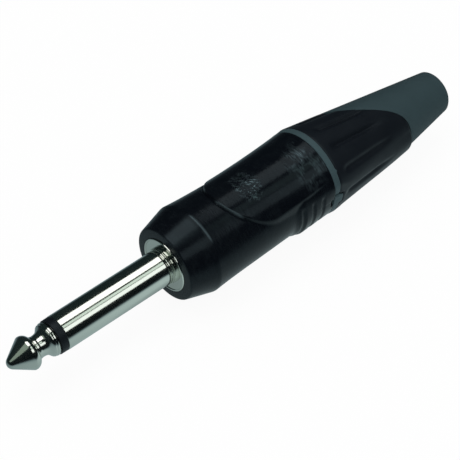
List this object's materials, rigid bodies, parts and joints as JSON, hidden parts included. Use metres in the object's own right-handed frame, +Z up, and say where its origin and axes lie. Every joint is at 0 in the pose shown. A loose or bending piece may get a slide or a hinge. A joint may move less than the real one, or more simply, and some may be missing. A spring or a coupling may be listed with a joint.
{
  "type": "mono jack plug",
  "caption": "Quarter inch mono jack plug: nickel tip and sleeve, black shell with a raised panel and finger ribs, screwed boot with a grey rubber cable gland.",
  "frame": {"origin": "on the plug's axis in the plane of the shell's front face, where a socket's bush stops", "axes": "+X along the plug from the tip to the cable end, +Z up towards the middle of the raised panel; the plug lies level"},
  "size_m": [0.0983, 0.0168, 0.0173],
  "materials": {
    "black_lacquer": "semi-gloss black lacquer on a die casting",
    "nickel_plate": "polished nickel plate",
    "brass_rod": "turned brass",
    "black_insulator": "satin black plastic",
    "white_acetal": "natural white plastic",
    "tinned_lug": "tin plate",
    "grey_acetal": "moulded grey plastic",
    "black_nylon": "satin black moulded nylon",
    "grey_rubber": "soft matt slate grey"
  },
  "bodies": {
    "plug": {"shell": "black_lacquer", "sleeve": "nickel_plate", "tip": "nickel_plate", "tip_rod": "brass_rod", "tip_insulator": "black_insulator", "rod_insulator": "white_acetal", "sleeve_terminal": "tinned_lug", "terminal_spacer": "white_acetal", "tip_terminal": "tinned_lug", "rod_washer": "brass_rod", "insert_carrier": "black_insulator", "insulating_liner": "white_acetal"},
    "chuck": {"chuck": "grey_acetal"},
    "boot": {"boot_core": "black_nylon", "boot_grip": "grey_rubber", "coding_ring": "grey_rubber"}
  },
  "joints": [
    {"name": "boot_travel", "type": "slide", "parent": "plug", "child": "chuck", "axis": [1, 0, 0], "range_m": [0, 0.006]},
    {"name": "boot_turn", "type": "hinge", "parent": "chuck", "child": "boot", "pos_m": [0.04, 0, 0], "axis": [1, 0, 0], "range_deg": [0, 2160]}
  ],
  "couplings": [
    {"joint": "boot_travel", "follows": "boot_turn", "m_per_rad": 0.00015915}
  ]
}
